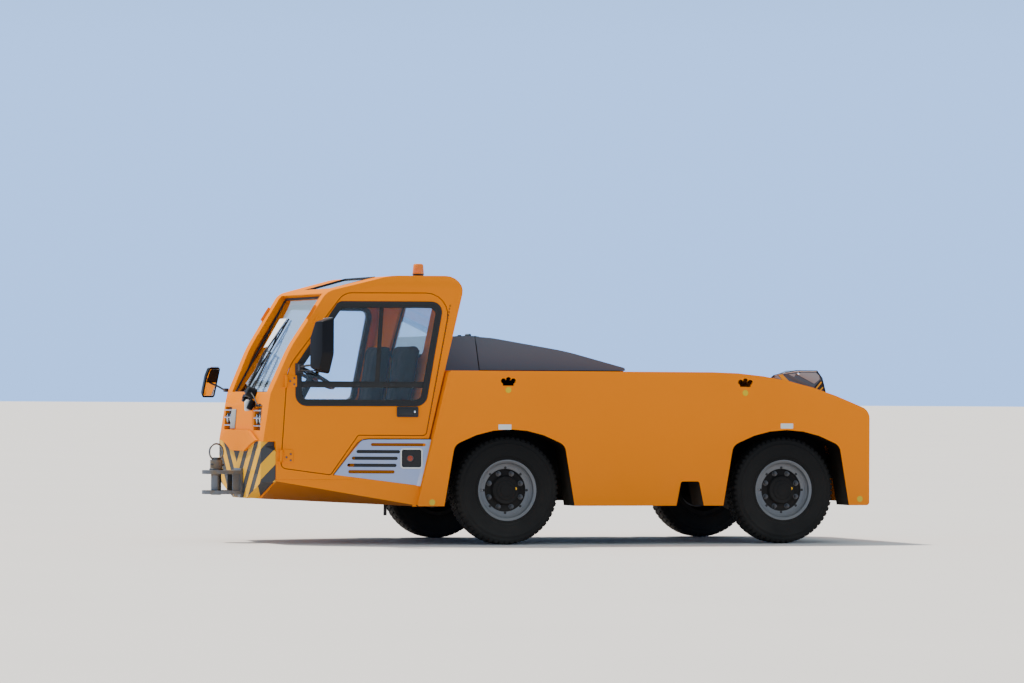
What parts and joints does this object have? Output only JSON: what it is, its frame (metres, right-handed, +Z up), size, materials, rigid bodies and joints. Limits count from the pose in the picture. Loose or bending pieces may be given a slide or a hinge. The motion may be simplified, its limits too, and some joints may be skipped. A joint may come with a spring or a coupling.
{
  "type": "aircraft pushback tractor",
  "caption": "Low aircraft pushback tractor: wide plated body with an engine hood, a low cab ahead of the front wheels and a pin coupling on a striped front weight.",
  "frame": {"origin": "on the ground under the middle of the tractor's length and width", "axes": "+X forwards along the tractor, +Y to its left, +Z up"},
  "size_m": [5.14, 2.14, 2.1765],
  "materials": {
    "orange_paint": "gloss paint",
    "chassis_paint": "satin paint",
    "grey_paint": "textured paint",
    "window_glass": "clear",
    "aluminium_sheet": "brushed",
    "seat_fabric": "woven",
    "black_plastic": "grained",
    "lamp_chrome": "bright",
    "amber_plastic": "clear moulded",
    "yellow_paint": "satin paint",
    "bare_steel": "worn",
    "rim_paint": "satin paint",
    "tyre": "moulded"
  },
  "bodies": {
    "root": {"chassis_frame": "chassis_paint", "engine_block": "chassis_paint", "transmission": "chassis_paint", "front_axle": "chassis_paint", "rear_axle": "chassis_paint", "side_panel_left": "orange_paint", "side_panel_right": "orange_paint", "deck": "orange_paint", "rear_panel": "orange_paint", "rear_hump": "grey_paint", "hood_front": "grey_paint", "cab_base": "orange_paint", "cab_frame": "orange_paint", "cab_nose": "orange_paint", "cab_roof": "orange_paint", "cab_glass": "window_glass", "step_panels": "aluminium_sheet", "seats": "seat_fabric", "dashboard": "black_plastic", "steering_wheel": "black_plastic", "mirror_right": "black_plastic", "wiper": "black_plastic", "lamps": "lamp_chrome", "beacon": "amber_plastic", "bumper": "yellow_paint", "front_coupling": "bare_steel", "rear_coupling": "bare_steel"},
    "hood_lid": {"hood_lid": "grey_paint"},
    "door_left": {"door_left": "orange_paint", "door_glass_left": "window_glass", "mirror_left": "black_plastic"},
    "door_right": {"door_right": "orange_paint", "door_glass_right": "window_glass"},
    "knuckle_left": {"knuckle_left": "chassis_paint"},
    "knuckle_right": {"knuckle_right": "chassis_paint"},
    "steering_rod": {"steering_rod": "bare_steel"},
    "wheel_front_left": {"rim_front_left": "rim_paint", "tyre_front_left": "tyre"},
    "wheel_front_right": {"rim_front_right": "rim_paint", "tyre_front_right": "tyre"},
    "wheel_rear_left": {"rim_rear_left": "rim_paint", "tyre_rear_left": "tyre"},
    "wheel_rear_right": {"rim_rear_right": "rim_paint", "tyre_rear_right": "tyre"},
    "coupling_pin": {"coupling_pin": "bare_steel"}
  },
  "joints": [
    {"name": "steer_left", "type": "hinge", "parent": "root", "child": "knuckle_left", "pos_m": [0.41, 0.765, 0.42], "axis": [0, 0, 1], "range_deg": [-35, 35]},
    {"name": "steer_right", "type": "hinge", "parent": "root", "child": "knuckle_right", "pos_m": [0.41, -0.765, 0.42], "axis": [0, 0, 1], "range_deg": [-35, 35]},
    {"name": "steering_rod_slide", "type": "slide", "parent": "root", "child": "steering_rod", "axis": [0, 1, 0], "range_m": [-0.1, 0.1]},
    {"name": "spin_front_left", "type": "hinge", "parent": "knuckle_left", "child": "wheel_front_left", "pos_m": [0.41, 0.9, 0.42], "axis": [0, 1, 0], "continuous": true},
    {"name": "spin_front_right", "type": "hinge", "parent": "knuckle_right", "child": "wheel_front_right", "pos_m": [0.41, -0.9, 0.42], "axis": [0, 1, 0], "continuous": true},
    {"name": "spin_rear_left", "type": "hinge", "parent": "root", "child": "wheel_rear_left", "pos_m": [-1.87, 0.9, 0.42], "axis": [0, 1, 0], "continuous": true},
    {"name": "spin_rear_right", "type": "hinge", "parent": "root", "child": "wheel_rear_right", "pos_m": [-1.87, -0.9, 0.42], "axis": [0, 1, 0], "continuous": true},
    {"name": "door_left_hinge", "type": "hinge", "parent": "root", "child": "door_left", "pos_m": [2.13553, 0.71603, 0.67894], "axis": [0.0806, 0.058, -0.9951], "range_deg": [0, 75]},
    {"name": "door_right_hinge", "type": "hinge", "parent": "root", "child": "door_right", "pos_m": [2.13553, -0.71603, 0.67894], "axis": [-0.0806, 0.058, 0.9951], "range_deg": [0, 75]},
    {"name": "hood_lid_hinge", "type": "hinge", "parent": "root", "child": "hood_lid", "pos_m": [0.548, 0, 1.619], "axis": [0, 1, 0], "range_deg": [0, 60]},
    {"name": "coupling_pin_slide", "type": "slide", "parent": "root", "child": "coupling_pin", "axis": [0, 0, 1], "range_m": [0, 0.16]}
  ],
  "couplings": [
    {"joint": "steer_right", "follows": "steer_left", "ratio": 1},
    {"joint": "steering_rod_slide", "follows": "steer_left", "m_per_rad": -0.16}
  ]
}
